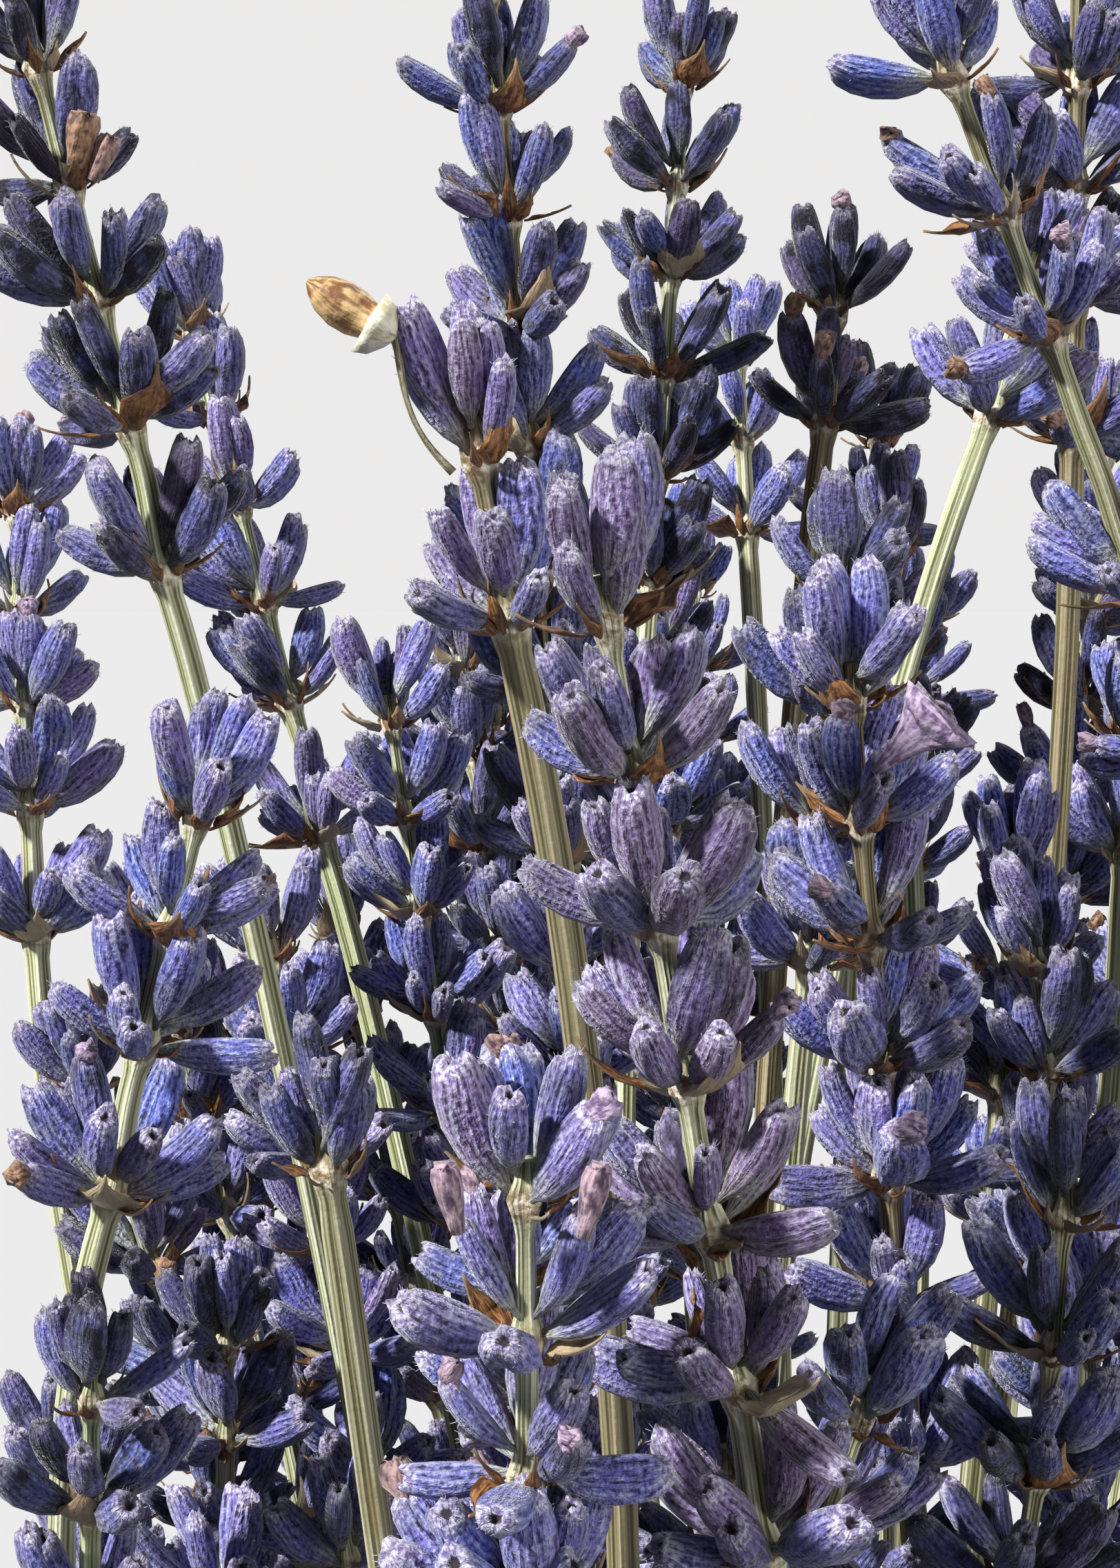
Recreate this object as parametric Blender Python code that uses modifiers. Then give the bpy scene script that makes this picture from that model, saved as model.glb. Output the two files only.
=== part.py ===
"""A bunch of dried lavender, hand-tied in a spiral so that it stands on its own cut stems.

Each sprig is a stem that ends in a spike of whorls, one piece as it grew. The stems cross at one
waist, where a few turns of twine and a knot hold them, and splay out above and below it. Metres,
+Z up, origin at the middle of the bunch's base.
"""

import math

import bpy
import numpy as np

MM = 0.001  # in metres

# The bunch
TIE_HEIGHT = 105 * MM
MID_HEIGHT = 262 * MM  # the height where a sprig's place is given
SPIRAL = 31.0  # sideways slope of a stem for each metre that it stands from the axis at the waist
CLEARANCE = 0.4 * MM  # left between neighbours

# A stem
STEM_RADIUS = 0.95 * MM
CUT_END = 3 * MM  # the upright foot of each stem, cut level with the others
LINE_TOLERANCE = 0.12 * MM  # a stem's tube follows its line this closely

# A spike: whorls of calyces, close together at the tip and further apart below
FIRST_NODE = 6.5 * MM  # the tip's whorl starts this far below the tip
FIRST_GAP = 5.6 * MM
GAP_GROWTH = 1.06
LOWEST_GAP = 1.25  # the lowest whorl stands apart by this much more
WHORL_HEIGHT = 7.4 * MM
WHORL_RADIUS = 4.4 * MM
NECK_RADIUS = 1.3 * MM
BLUNT_TIP_RADIUS = 1.2 * MM
SHOULDER = (0.76, 0.86)  # (share of the whorl's height above its node, share of its widest radius)
WIDEST_AT = 0.40  # share of the whorl's height above its node
TIP_WHORL_SIZE = 0.68  # the tip's whorl is this share of a full one
WHORL_GROWTH = 0.12  # and each whorl below it is larger by this, up to a full one
SPIKE_FOOT = 1.0 * MM  # below the lowest node

# The tie
TWINE_RADIUS = 1.1 * MM
TURNS = 4
BINDING_INSIDE = 11.6 * MM
BINDING_SIDES = 32
KNOT_RADIUS = 2.7 * MM
TAIL_RADIUS = 1.0 * MM

# Half of the knot's length of twine, from its middle out: (sideways, up, radius), sideways and up in mm
KNOT_HALF = [
    (0.0, 0.0, KNOT_RADIUS),
    (2.2, 0.8, 0.8 * KNOT_RADIUS),
    (4.0, 0.2, TAIL_RADIUS),
    (6.5, -3.5, TAIL_RADIUS),
    (8.0, -9.0, TAIL_RADIUS),
    (8.6, -14.0, TAIL_RADIUS),
]

# The sprigs that shape the bunch: each one's place at MID_HEIGHT (x, y), the height of its tip, in mm,
# its count of whorls, and how far its spike leans (dx/dz, dy/dz)
PLACED = [
    (-28, -10, 307, 5, (-0.22, -0.20)),
    (-26, 17, 297, 6, (-0.27, 0.12)),
    (-43, 9, 284, 5, (-0.06, 0.12)),
    (-27, -27, 268, 4, (0.25, -0.24)),
    (-30, -43, 240, 3, (0.06, -0.34)),
    (-26, -20, 236, 4, (0.09, -0.26)),
    (-21, -45, 253, 1, (-0.10, -0.30)),
    (-16, 43, 264, 2, (-0.06, 0.30)),
    (-9, -2, 313, 8, (-0.09, -0.10)),
    (-9, -44, 285, 2, (-0.20, -0.20)),
    (-5, -54, 278, 8, (-0.20, -0.30)),
    (-8.5, -60.5, 256, 5, (0.03, -0.26)),
    (-4, 11, 312, 7, (0.07, 0.12)),
    (27, -18, 305, 6, (-0.44, -0.20)),
    (7.4, -12, 296, 2, (0.34, 0.02)),
    (5, 6, 297, 2, (0.12, 0.12)),
    (6, 38, 297, 3, (-0.05, 0.17)),
    (12, 24, 290, 3, (0.07, 0.17)),
    (14, 15, 281, 3, (-0.06, 0.12)),
    (6, -31, 274, 7, (-0.13, -0.22)),
    (5, -20, 279, 4, (0.07, -0.16)),
    (17.5, -8, 262, 4, (0.03, -0.10)),
    (16, -18, 259, 5, (-0.11, -0.16)),
    (26, 4, 270, 2, (0.00, -0.08)),
    (15, -32, 241, 4, (-0.10, -0.28)),
    (7, -38, 235, 3, (-0.02, -0.22)),
    (-1, -32, 233, 3, (-0.02, -0.22)),
    (22, 1, 315, 5, (-0.02, -0.10)),
]

# The rest fill the bunch between them, under a top that is domed and lower at the front and left
FILLER_PLACES = 58
FILL_RADIUS = 52 * MM
FILL_GAP = 8.3 * MM  # a filler is left out this near to a placed sprig
FILL_TOP = 276 * MM
FILL_SLOPE = 0.5  # the top's rise towards +X
FILL_FRONT_SLOPE = 0.55  # its fall towards the front
FILL_BACK_SLOPE = 0.2  # its rise towards the back
FILL_DROP = 14 * MM  # from its middle to its edge
FILL_UNEVEN = 6 * MM  # how far a filler's tip is above or below that top
FILL_WHORLS = 7  # and up to two more
GOLDEN_ANGLE = math.radians(137.5)

LEVEL_STEP = 5 * MM
SETTLING_ROUNDS = 400
SMOOTHED_ROUNDS = 360  # the last rounds only push apart
STIFFNESS = 0.15  # how strongly a stem spreads a push to its neighbouring levels in each round
PLACED_WEIGHT = 4  # how much less than a filler a placed sprig gives way

COLOURS = {
    "dried_lavender": (0.20, 0.19, 0.33),
    "jute_twine": (0.46, 0.32, 0.17),
}


def clear_scene():
    for obj in list(bpy.data.objects):
        bpy.data.objects.remove(obj)


def material(name):
    made = bpy.data.materials.get(name) or bpy.data.materials.new(name)
    made.use_nodes = True
    shader = made.node_tree.nodes["Principled BSDF"]
    shader.inputs["Base Color"].default_value = (*COLOURS[name], 1)
    shader.inputs["Roughness"].default_value = 0.8
    return made


# --- how the sprigs lie ---------------------------------------------------------------------


def fillers():
    """Sprigs on a sunflower spiral, wherever no placed sprig stands, under a domed top."""
    taken = np.array([sprig[:2] for sprig in PLACED]) * MM
    found = []
    for n in range(FILLER_PLACES):
        share = (n + 0.5) / FILLER_PLACES
        angle = n * GOLDEN_ANGLE
        place = FILL_RADIUS * math.sqrt(share) * np.array([math.cos(angle), math.sin(angle)])
        if np.linalg.norm(taken - place, axis=1).min() < FILL_GAP:
            continue
        depth_slope = FILL_FRONT_SLOPE if place[1] < 0 else FILL_BACK_SLOPE
        top = FILL_TOP + FILL_SLOPE * place[0] + depth_slope * place[1]
        tip = top - FILL_DROP * share + FILL_UNEVEN * math.sin(5 * n)
        found.append((*(place / MM), tip / MM, FILL_WHORLS + n % 3, None))
    return found


def spiral_place(waist, height):
    """Where a straight stem that passes the waist at this place is at a height: every stem leans
    sideways in step with its distance from the axis, so that no two ever meet."""
    turn = SPIRAL * (height - TIE_HEIGHT)
    x, y = waist
    return np.array([x - turn * y, y + turn * x])


def waist_of(place, height):
    """The waist place of the spiral stem that is at this place at a height."""
    turn = SPIRAL * (height - TIE_HEIGHT)
    x, y = place
    return np.array([x + turn * y, y - turn * x]) / (1 + turn * turn)


def spiral_lean(waist):
    return SPIRAL * np.array([-waist[1], waist[0]])


def node_depths(whorls):
    """How far each whorl's node is below the tip of a spike."""
    gaps = FIRST_GAP * GAP_GROWTH ** np.arange(whorls - 1)
    gaps[-1:] *= LOWEST_GAP
    return FIRST_NODE + np.concatenate([[0], np.cumsum(gaps)])


def spike_foot(tip, whorls):
    """The height of the spike's lower end."""
    return tip - node_depths(whorls)[-1] - SPIKE_FOOT


def drawn_line(sprig, levels):
    """A sprig's places at the levels: its spiral line up to the waist, a smooth bend from there to
    the foot of the spike, and the spike's own straight line above."""
    x, y, tip, whorls, lean = sprig
    place = np.array([x, y]) * MM
    foot = spike_foot(tip * MM, whorls)
    if lean is None:
        lean = spiral_lean(waist_of(place, MID_HEIGHT))
    lean = np.array(lean)
    foot_place = place + lean * (foot - MID_HEIGHT)
    waist = waist_of(foot_place, foot)
    line = []
    for height in levels:
        if height <= TIE_HEIGHT:
            line.append(spiral_place(waist, height))
        elif height >= foot:
            line.append(foot_place + lean * (height - foot))
        else:
            span = foot - TIE_HEIGHT
            t = (height - TIE_HEIGHT) / span
            line.append(
                (2 * t**3 - 3 * t**2 + 1) * waist
                + (t**3 - 2 * t**2 + t) * span * spiral_lean(waist)
                + (3 * t**2 - 2 * t**3) * foot_place
                + (t**3 - t**2) * span * lean
            )
    return np.array(line)


def room_at(levels, sprigs):
    """The radius that each sprig needs at each level, and zero above its tip."""
    room = np.zeros((len(levels), len(sprigs)))
    for i, (_, _, tip, whorls, _) in enumerate(sprigs):
        foot = spike_foot(tip * MM, whorls)
        room[levels < foot, i] = STEM_RADIUS
        room[(levels >= foot - LEVEL_STEP) & (levels < tip * MM + LEVEL_STEP), i] = WHORL_RADIUS
    return room


def settle(lines, room, levels):
    """Pushes sprigs that are too close apart, level by level, spreads each push up and down the
    sprig, and keeps all of them inside the binding at the waist."""
    bound = np.abs(levels - TIE_HEIGHT) < (TURNS + 2) * TWINE_RADIUS
    inside = BINDING_INSIDE - STEM_RADIUS - CLEARANCE
    present = room > 0
    both = present[:, :, None] & present[:, None, :] & ~np.eye(room.shape[1], dtype=bool)
    steady = present[2:] & present[1:-1]
    drawn = lines.copy()
    weight = np.where(np.arange(room.shape[1]) < len(PLACED), PLACED_WEIGHT, 1)
    gives = weight[None, :] / (weight[:, None] + weight[None, :])
    for round_number in range(SETTLING_ROUNDS):
        if round_number < SMOOTHED_ROUNDS:
            shift = lines - drawn
            bend = shift[2:] + shift[:-2] - 2 * shift[1:-1]
            lines[1:-1] += STIFFNESS * bend * steady[:, :, None]
        slope = np.linalg.norm(np.gradient(lines, levels, axis=0), axis=2)
        width = room * np.hypot(1, slope)  # a level cut through a leaning tube is longer
        need = (width[:, :, None] + width[:, None, :] + CLEARANCE) * both
        apart = lines[:, :, None] - lines[:, None, :]
        distance = np.linalg.norm(apart, axis=3) + 1e-9
        push = np.clip(need - distance, 0, None) * gives
        lines += (apart * (push / distance)[:, :, :, None]).sum(axis=2)
        away = np.linalg.norm(lines[bound], axis=2, keepdims=True)
        lines[bound] *= np.minimum(1, inside / np.maximum(away, 1e-9))
    return lines


# --- the pieces -----------------------------------------------------------------------------


def tube(name, points, radii, sides_resolution, finish, collection):
    """A tube through the points, with a radius at each, and closed ends."""
    curve = bpy.data.curves.new(name, "CURVE")
    curve.dimensions = "3D"
    curve.bevel_depth = 1.0
    curve.bevel_resolution = sides_resolution
    curve.use_fill_caps = True
    spline = curve.splines.new("POLY")
    spline.points.add(len(points) - 1)
    for target, place, radius in zip(spline.points, points, radii):
        target.co = (*place, 1)
        target.radius = radius
    curve.materials.append(material(finish))
    obj = bpy.data.objects.new(name, curve)
    collection.objects.link(obj)
    return obj


def along(line, levels, height):
    """The point of a sprig's line at a height."""
    x = np.interp(height, levels, line[:, 0])
    y = np.interp(height, levels, line[:, 1])
    return (x, y, height)


def spike_profile(whorls):
    """(depth below the tip, radius) down the spike: each whorl opens from its node to its widest
    and closes in again, and a bare stalk shows where the next one stands apart."""
    depths = node_depths(whorls)
    profile = [(0, BLUNT_TIP_RADIUS)]
    shoulder_at, shoulder = SHOULDER
    above = 0.0
    for k, node in enumerate(depths):
        height = min(node - above, WHORL_HEIGHT)
        widest = WHORL_RADIUS * min(1, TIP_WHORL_SIZE + WHORL_GROWTH * k)
        if node - above > WHORL_HEIGHT:
            profile.append((node - height, NECK_RADIUS))
        profile.append((node - shoulder_at * height, shoulder * widest))
        profile.append((node - WIDEST_AT * height, widest))
        profile.append((node, NECK_RADIUS))
        above = node
    return profile


def thinned(points):
    """The points without those that the straight lines between the others follow closely enough."""
    start, end = points[0], points[-1]
    share = (points[:, 2] - start[2]) / (end[2] - start[2])
    off = np.linalg.norm(points - start - share[:, None] * (end - start), axis=1)
    worst = off.argmax()
    if off[worst] < LINE_TOLERANCE:
        return [start, end]
    return thinned(points[: worst + 1])[:-1] + thinned(points[worst:])


def make_sprig(number, line, levels, tip, whorls, collection):
    """An upright cut end, the stem up to the spike, and the spike."""
    foot = spike_foot(tip, whorls)
    between = levels[(levels > CUT_END) & (levels < foot)]
    heights = [CUT_END, *between, foot]
    points = [(*along(line, levels, CUT_END)[:2], 0)]
    points += thinned(np.array([along(line, levels, height) for height in heights]))
    radii = [STEM_RADIUS] * len(points)
    for depth, radius in reversed(spike_profile(whorls)):
        points.append(along(line, levels, tip - depth))
        radii.append(radius)
    tube(f"sprig_{number:02d}", points, radii, 1, "dried_lavender", collection)


def make_binding(collection):
    """Turns of twine round the waist: a profile with a half round for each turn, turned on Z."""
    low = TIE_HEIGHT - TURNS * TWINE_RADIUS
    profile = [(BINDING_INSIDE, low)]
    for turn in range(TURNS):
        middle = low + (2 * turn + 1) * TWINE_RADIUS
        for step in (-75, -30, 30, 75):
            angle = math.radians(step)
            reach = BINDING_INSIDE + TWINE_RADIUS * (1 + math.cos(angle))
            profile.append((reach, middle + TWINE_RADIUS * math.sin(angle)))
    profile.append((BINDING_INSIDE, low + 2 * TURNS * TWINE_RADIUS))
    profile.reverse()
    mesh = bpy.data.meshes.new("twine_binding")
    count = len(profile)
    edges = [(k, (k + 1) % count) for k in range(count)]
    mesh.from_pydata([(r, 0, z) for r, z in profile], edges, [])
    obj = bpy.data.objects.new("twine_binding", mesh)
    collection.objects.link(obj)
    screw = obj.modifiers.new("turned", "SCREW")
    screw.steps = screw.render_steps = BINDING_SIDES
    screw.use_merge_vertices = True
    screw.merge_threshold = 0.01 * MM
    mesh.materials.append(material("jute_twine"))


def make_knot(collection):
    """The knot with its two trimmed tails: one length of twine that thickens where it is tied."""
    front = -(BINDING_INSIDE + 2 * TWINE_RADIUS + KNOT_RADIUS + CLEARANCE)
    left = [(-x, z, radius) for x, z, radius in reversed(KNOT_HALF[1:])]
    points = [(x * MM, front, TIE_HEIGHT + z * MM) for x, z, _ in left + KNOT_HALF]
    radii = [radius for _, _, radius in left + KNOT_HALF]
    tube("twine_knot", points, radii, 2, "jute_twine", collection)


def centre_on_origin(collection):
    """Moves every piece so that the bunch's box stands centred on the origin."""
    bpy.context.view_layer.update()
    graph = bpy.context.evaluated_depsgraph_get()
    corners = []
    for obj in collection.objects:
        solid = obj.evaluated_get(graph)
        mesh = solid.to_mesh()
        places = np.empty(len(mesh.vertices) * 3, np.float32)
        mesh.vertices.foreach_get("co", places)
        places = places.reshape(-1, 3)
        corners += [places.min(axis=0), places.max(axis=0)]
        solid.to_mesh_clear()
    low, high = np.min(corners, axis=0), np.max(corners, axis=0)
    middle = (low + high) / 2
    for obj in collection.objects:
        obj.location = (-middle[0], -middle[1], -low[2])


def main():
    clear_scene()
    collection = bpy.data.collections.new("lavender_bunch")
    bpy.context.scene.collection.children.link(collection)
    sprigs = PLACED + fillers()
    highest = max(tip for _, _, tip, _, _ in sprigs) * MM
    levels = np.arange(0, highest + 2 * LEVEL_STEP, LEVEL_STEP)
    lines = np.stack([drawn_line(sprig, levels) for sprig in sprigs], axis=1)
    lines = settle(lines, room_at(levels, sprigs), levels)
    for i, (_, _, tip, whorls, _) in enumerate(sprigs):
        make_sprig(i + 1, lines[:, i], levels, tip * MM, whorls, collection)
    make_binding(collection)
    make_knot(collection)
    centre_on_origin(collection)


main()
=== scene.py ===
"""Looks for the bunch of dried lavender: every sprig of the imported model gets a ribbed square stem,
whorls of downy calyces, papery bracts and a few withered corollas, and the tie becomes real twine.
"""

import math

import bpy
import numpy as np
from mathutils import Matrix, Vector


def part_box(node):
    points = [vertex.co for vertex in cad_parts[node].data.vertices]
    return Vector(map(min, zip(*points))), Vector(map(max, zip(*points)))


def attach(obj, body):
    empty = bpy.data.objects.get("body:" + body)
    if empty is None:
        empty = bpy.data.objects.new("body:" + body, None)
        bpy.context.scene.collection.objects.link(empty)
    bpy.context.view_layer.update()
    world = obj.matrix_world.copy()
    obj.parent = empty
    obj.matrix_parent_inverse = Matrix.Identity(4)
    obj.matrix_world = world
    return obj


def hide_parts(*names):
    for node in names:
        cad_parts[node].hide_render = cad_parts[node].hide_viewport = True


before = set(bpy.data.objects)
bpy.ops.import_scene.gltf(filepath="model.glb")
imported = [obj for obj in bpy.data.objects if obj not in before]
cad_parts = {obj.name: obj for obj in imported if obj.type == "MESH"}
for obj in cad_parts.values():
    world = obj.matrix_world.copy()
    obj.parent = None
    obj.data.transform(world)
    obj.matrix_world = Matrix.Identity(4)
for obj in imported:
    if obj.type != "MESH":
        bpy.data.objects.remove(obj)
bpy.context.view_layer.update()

MM = 0.001

# How each sprig's CAD solid is read
SLICE = 0.5 * MM
BULGE = 2.2 * MM  # a spike is wider than this where it holds a whorl
NODE_BELOW = 0.8 * MM  # a whorl's node is this far below its bulge
WIDEST = 4.4 * MM
SMOOTHING = 60  # rounds of averaging each level of a sprig's line with its neighbours

# Sprigs that differ from the rest: how dark they are, how far they turn to purple-brown, and how
# many of their calyces still hold a withered corolla, each from 0 to 1. The rest draw theirs.
STYLES = {
    "sprig_01": (0.75, 0.25, 0.04),
    "sprig_02": (0.05, 0.20, 0.00),
    "sprig_04": (0.15, 0.00, 0.04),
    "sprig_06": (0.55, 0.00, 0.04),
    "sprig_07": (0.45, 0.00, 0.00),
    "sprig_09": (0.45, 0.05, 0.05),
    "sprig_10": (0.00, 0.55, 0.00),
    "sprig_11": (0.20, 0.75, 0.05),
    "sprig_12": (0.00, 0.22, 0.25),
    "sprig_13": (0.80, 0.05, 0.02),
    "sprig_14": (0.10, 0.00, 0.04),
    "sprig_16": (1.00, 0.30, 0.15),
    "sprig_17": (0.00, 0.00, 0.00),
    "sprig_18": (0.90, 0.05, 0.05),
    "sprig_19": (0.85, 0.00, 0.05),
    "sprig_20": (0.10, 0.10, 0.06),
}
COROLLA_SHARE = 0.03
BROWN_STEMS = {"sprig_16": 0.9, "sprig_10": 0.8, "sprig_14": 0.4}  # from 0, green, to 1


# --- finishes -----------------------------------------------------------------------------


class Value:
    """A number that varies over a surface: a socket whose Python operators add Math nodes."""

    def __init__(self, finish, socket):
        self.finish = finish
        self.socket = socket

    def math(self, operation, first, second):
        node = self.finish.node("Math", {"operation": operation}, {0: first, 1: second})
        return Value(self.finish, node.outputs[0])

    def __add__(self, other):
        return self.math("ADD", self, other)

    __radd__ = __add__

    def __sub__(self, other):
        return self.math("SUBTRACT", self, other)

    def __rsub__(self, other):
        return self.math("SUBTRACT", other, self)

    def __mul__(self, other):
        return self.math("MULTIPLY", self, other)

    __rmul__ = __mul__

    def __pow__(self, other):
        return self.math("POWER", self, other)


class Finish:
    """A Principled material whose plain sockets are given, and whose varying ones are linked."""

    def __init__(self, name, **plain):
        self.material = bpy.data.materials.new(name)
        self.material.use_nodes = True
        self.tree = self.material.node_tree
        self.shader = self.tree.nodes["Principled BSDF"]
        for socket, value in plain.items():
            self.shader.inputs[socket.replace("_", " ")].default_value = value

    def node(self, kind, settings, inputs):
        made = self.tree.nodes.new("ShaderNode" + kind)
        for key, value in settings.items():
            setattr(made, key, value)
        for key, value in inputs.items():
            self.feed(made.inputs[key], value)
        return made

    def feed(self, socket, value):
        if isinstance(value, Value):
            value = value.socket
        if isinstance(value, bpy.types.NodeSocket):
            self.tree.links.new(value, socket)
        elif isinstance(value, tuple) and len(value) == 3 and socket.type == "RGBA":
            socket.default_value = (*value, 1)
        else:
            socket.default_value = value

    def number(self, kind, settings, inputs, output=0):
        return Value(self, self.node(kind, settings, inputs).outputs[output])

    def mix(self, share, first, second):
        """From the first colour to the second."""
        node = self.node(
            "Mix", {"data_type": "RGBA"}, {"Factor": share, 6: first, 7: second}
        )
        return node.outputs[2]

    def ramp(self, value, low, high):
        """0 below low and 1 above high, with a smooth rise between."""
        inputs = {"Value": value, "From Min": low, "From Max": high}
        return self.number("MapRange", {"interpolation_type": "SMOOTHSTEP"}, inputs)

    def grain(self, scale, detail=3.0):
        """Noise through the solid, its scale in features for each metre."""
        place = self.node("TexCoord", {}, {}).outputs["Object"]
        inputs = {"Vector": place, "Scale": scale, "Detail": detail}
        return self.number("TexNoise", {}, inputs, "Fac")

    def shape(self):
        """Where a point is on its own calyx, bract or stem: round it and along it, each 0 to 1."""
        uv = self.node("UVMap", {"uv_map": "shape"}, {}).outputs[0]
        parts = self.node("SeparateXYZ", {}, {0: uv})
        return Value(self, parts.outputs[0]), Value(self, parts.outputs[1])

    def nature(self):
        """What the mesh says of each calyx, bract or stem: chance, darkness and warmth."""
        read = self.node("Attribute", {"attribute_name": "nature"}, {})
        parts = self.node("SeparateXYZ", {}, {0: read.outputs["Vector"]})
        return [Value(self, parts.outputs[k]) for k in range(3)]

    def ribs(self, round_share, count):
        """Ridges round a tube: 1 on each of them and 0 between them."""
        wave = self.number(
            "Math", {"operation": "COSINE"}, {0: round_share * (2 * math.pi * count)}
        )
        return wave * 0.5 + 0.5

    def streaks(self, round_share, along, chance, fine, long):
        """Noise drawn out along a tube, different on each one and with no seam."""
        angle = round_share * (2 * math.pi)
        across = [
            self.number("Math", {"operation": operation}, {0: angle}) * (fine / (2 * math.pi))
            for operation in ("COSINE", "SINE")
        ]
        inputs = {0: across[0], 1: across[1], 2: along * long + chance * 90}
        place = self.node("CombineXYZ", {}, inputs).outputs[0]
        inputs = {"Vector": place, "Scale": 1.0, "Detail": 2.0}
        return self.number("TexNoise", {}, inputs, "Fac")

    def colour(self, socket):
        self.feed(self.shader.inputs["Base Color"], socket)

    def bump(self, height, depth, strength=1.0):
        inputs = {"Height": height, "Distance": depth, "Strength": strength}
        self.feed(self.shader.inputs["Normal"], self.node("Bump", {}, inputs).outputs[0])


def calyx_finish():
    """Dark furrows, partly painted shade, between thirteen pale veins with some painted highlight on
    their crests, all broken up by down, over a pale foot, and painted shade inside the mouth.
    """
    f = Finish("downy_calyx", Roughness=0.75, Sheen_Weight=0.45, Sheen_Roughness=0.35)
    f.shader.inputs["Specular IOR Level"].default_value = 0.3
    around, along = f.shape()
    chance, dark, warm = f.nature()
    wander = f.streaks(around, along, chance, 5.0, 3.0)
    ribs = f.ribs(around + (wander - 0.5) * 0.16, 13)
    hairs = f.streaks(around, along, chance, 60.0, 10.0)
    down = f.grain(4500.0, 2.0)
    blotch = f.grain(650.0, 1.0)
    crest = ribs * 0.20 + hairs * 0.62 + down * 0.66 - 0.06
    # groove: the furrows' own darker tone, deepened towards black as painted shade between the veins
    cool = f.mix(chance, (0.016, 0.018, 0.066), (0.034, 0.024, 0.074))
    groove = f.mix(warm * 0.8, cool, (0.060, 0.034, 0.046))
    cool = f.mix(chance, (0.100, 0.140, 0.500), (0.225, 0.190, 0.560))
    middle = f.mix(warm * 0.8, cool, (0.290, 0.180, 0.310))
    # pale: the veins' and down's own pale tone, partly painted highlight on the rib crests, laid
    # where crest and blotch run high
    pale = f.mix(warm * 0.7, (0.520, 0.550, 0.860), (0.640, 0.530, 0.660))
    body = f.mix(f.ramp(crest, 0.44, 0.68), groove, middle)
    body = f.mix(f.ramp(crest + blotch * 0.5, 0.86, 1.25), body, pale)
    foot = f.mix(f.ramp(crest, 0.42, 0.85), (0.150, 0.150, 0.120), (0.720, 0.740, 0.620))
    reach = along + hairs * 0.30 + blotch * 0.55
    body = f.mix(f.ramp(reach, 0.90, 0.38), body, foot)
    rim = f.mix(f.ramp(down, 0.35, 0.65), (0.230, 0.170, 0.380), (0.820, 0.790, 0.900))
    body = f.mix(f.ramp(along + hairs * 0.2, 0.95, 1.06) * 0.8, body, rim)
    # painted shade: the ring inside the mouth goes nearly black
    body = f.mix(f.ramp(along, 1.08, 1.12), body, (0.030, 0.018, 0.030))
    shade = dark * 0.85 + f.ramp(blotch, 0.42, 0.66) * 0.45 - 0.14
    f.colour(f.mix(shade, body, (0.011, 0.009, 0.022)))
    f.bump(crest, 0.00026)
    return f.material


def down_finish():
    f = Finish("down", Roughness=0.9)
    chance, dark, _ = f.nature()
    hair = f.mix(chance, (0.36, 0.36, 0.60), (0.76, 0.74, 0.82))
    f.colour(f.mix(dark * 0.6, hair, (0.05, 0.05, 0.12)))
    return f.material


def stem_finish():
    """Pale ridges and olive furrows drawn out along the stem, and cream, knobbly nodes."""
    f = Finish("dry_stem", Roughness=0.55)
    around, along = f.shape()
    chance, knobbly, brown = f.nature()
    ridges = f.ribs(around, 4) * 0.35 + f.ribs(around, 15) * 0.25
    streaks = f.streaks(around, along, chance, 30.0, 24.0)
    crest = ridges + streaks * 0.70
    green = f.mix(chance, (0.430, 0.480, 0.240), (0.600, 0.620, 0.380))
    groove = f.mix(chance, (0.080, 0.085, 0.025), (0.150, 0.140, 0.055))
    body = f.mix(f.ramp(crest, 0.36, 0.72), groove, green)
    body = f.mix(f.ramp(crest, 0.70, 0.95), body, (0.800, 0.810, 0.600))
    bark = f.mix(f.ramp(crest, 0.4, 0.9), (0.050, 0.025, 0.010), (0.270, 0.170, 0.080))
    body = f.mix(brown * 0.85, body, bark)
    body = f.mix(f.ramp(f.grain(240.0), 0.54, 0.75) * 0.5, body, (0.210, 0.130, 0.050))
    knob = f.mix(f.ramp(f.grain(2200.0), 0.35, 0.65), (0.230, 0.140, 0.060), (0.850, 0.780, 0.600))
    f.colour(f.mix(f.ramp(knobbly, 0.15, 0.8), body, knob))
    f.bump(crest + f.grain(2600.0) * (0.3 + knobbly), 0.00016)
    return f.material


def bract_finish():
    f = Finish("papery_bract", Roughness=0.5)
    around, along = f.shape()
    chance, dark, _ = f.nature()
    streaks = f.streaks(around, along, chance, 30.0, 4.0)
    veins = streaks * 0.7 + f.grain(3000.0) * 0.4
    body = f.mix(f.ramp(veins, 0.42, 0.68), (0.090, 0.032, 0.010), (0.460, 0.215, 0.080))
    body = f.mix(f.ramp(along, 0.55, 1.0) * 0.5, body, (0.600, 0.420, 0.220))
    body = f.mix(f.ramp(chance, 0.7, 0.9) * 0.7, body, (0.620, 0.540, 0.360))
    f.colour(f.mix(dark * 0.5, body, (0.030, 0.014, 0.008)))
    f.bump(veins, 0.00015)
    return f.material


def corolla_finish():
    f = Finish("withered_corolla", Roughness=0.65, Sheen_Weight=0.2)
    around, along = f.shape()
    chance, _, brown = f.nature()
    streaks = f.streaks(around, along, chance, 18.0, 4.0) * 0.6 + f.grain(2600.0) * 0.5
    mauve = f.mix(f.ramp(streaks, 0.42, 0.66), (0.110, 0.060, 0.150), (0.560, 0.430, 0.600))
    rust = f.mix(f.ramp(streaks, 0.42, 0.66), (0.060, 0.024, 0.014), (0.400, 0.220, 0.120))
    f.colour(f.mix(brown, mauve, rust))
    f.bump(streaks, 0.00020)
    return f.material


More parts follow.
